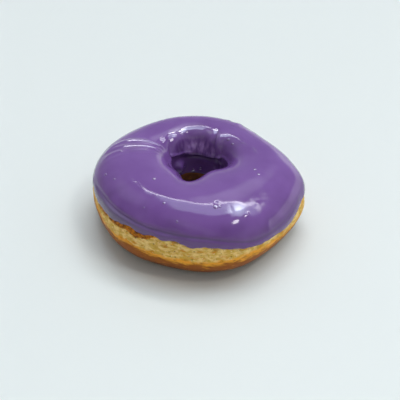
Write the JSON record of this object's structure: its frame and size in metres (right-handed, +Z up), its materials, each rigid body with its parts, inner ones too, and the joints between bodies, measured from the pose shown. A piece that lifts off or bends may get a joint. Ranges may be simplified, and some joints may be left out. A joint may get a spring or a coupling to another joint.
{
  "type": "iced ring doughnut",
  "caption": "Raised ring doughnut of fried dough with a pale middle band, dipped in glossy purple icing that runs down into its small, off-centre hole.",
  "frame": {"origin": "centre of the doughnut's box, at the height of the surface that it rests on", "axes": "+Z up through the ring, the iced side up; -Y is the side with the pointed corner of the hole"},
  "size_m": [0.0978, 0.0972, 0.0331],
  "materials": {
    "fried_dough": "matte fried crust, orange-brown below and on top, with a pale porous band round the middle",
    "purple_icing": "wet gloss, smooth poured glaze with small bubbles and soft ripples"
  },
  "bodies": {
    "root": {"dough_ring": "fried_dough", "icing": "purple_icing"}
  },
  "joints": []
}
